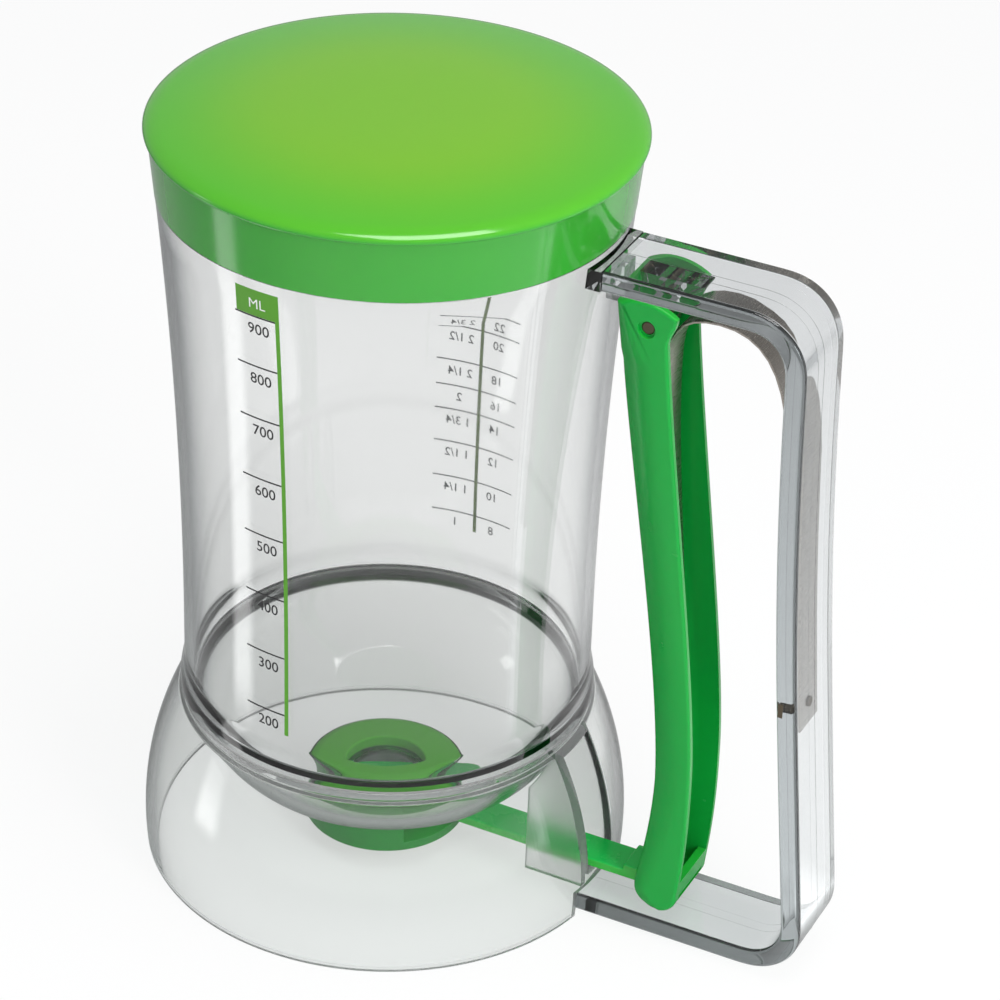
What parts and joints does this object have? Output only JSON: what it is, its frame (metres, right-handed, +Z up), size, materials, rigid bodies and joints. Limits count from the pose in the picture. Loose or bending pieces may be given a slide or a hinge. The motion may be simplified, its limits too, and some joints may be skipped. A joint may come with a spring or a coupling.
{
  "type": "batter dispenser",
  "caption": "Clear hand-held batter jug on a bell-shaped base, with a lift-off green lid and a side handle whose sprung trigger slides a gate from under the outlet.",
  "frame": {"origin": "on the surface that the base stands on, on the centre line of the jug", "axes": "+Z up along the jug's centre line, +X towards the handle, y = 0 is the plane of the handle, trigger and slide"},
  "size_m": [0.1688, 0.1144, 0.192],
  "materials": {
    "clear_jug": "clear, polished",
    "clear_base": "clear, polished",
    "clear_handle": "clear, polished",
    "seal": "satin",
    "green_housing": "satin",
    "green_slide": "satin",
    "green_trigger": "satin",
    "green_lid": "satin",
    "spring_steel": "brushed",
    "steel": "polished"
  },
  "bodies": {
    "vessel": {"jug": "clear_jug", "outlet_seal": "seal", "valve_housing": "green_housing", "base": "clear_base", "handle": "clear_handle", "leaf_spring": "spring_steel", "spring_rivet": "steel", "pivot_pin": "steel"},
    "lid": {"lid": "green_lid"},
    "trigger": {"trigger": "green_trigger"},
    "slide": {"valve_slide": "green_slide"}
  },
  "joints": [
    {"name": "lid_lift", "type": "slide", "parent": "vessel", "child": "lid", "axis": [0, 0, 1], "range_m": [0, 0.06]},
    {"name": "trigger_pivot", "type": "hinge", "parent": "vessel", "child": "trigger", "pos_m": [0.0647, 0, 0.1587], "axis": [0, -1, 0], "range_deg": [0, 6.5], "stiffness_Nm_per_rad": 4, "deforming": ["leaf_spring"]},
    {"name": "valve_travel", "type": "slide", "parent": "vessel", "child": "slide", "axis": [1, 0, 0], "range_m": [0, 0.0167]}
  ],
  "couplings": [
    {"joint": "valve_travel", "follows": "trigger_pivot", "m_per_rad": 0.1469}
  ]
}
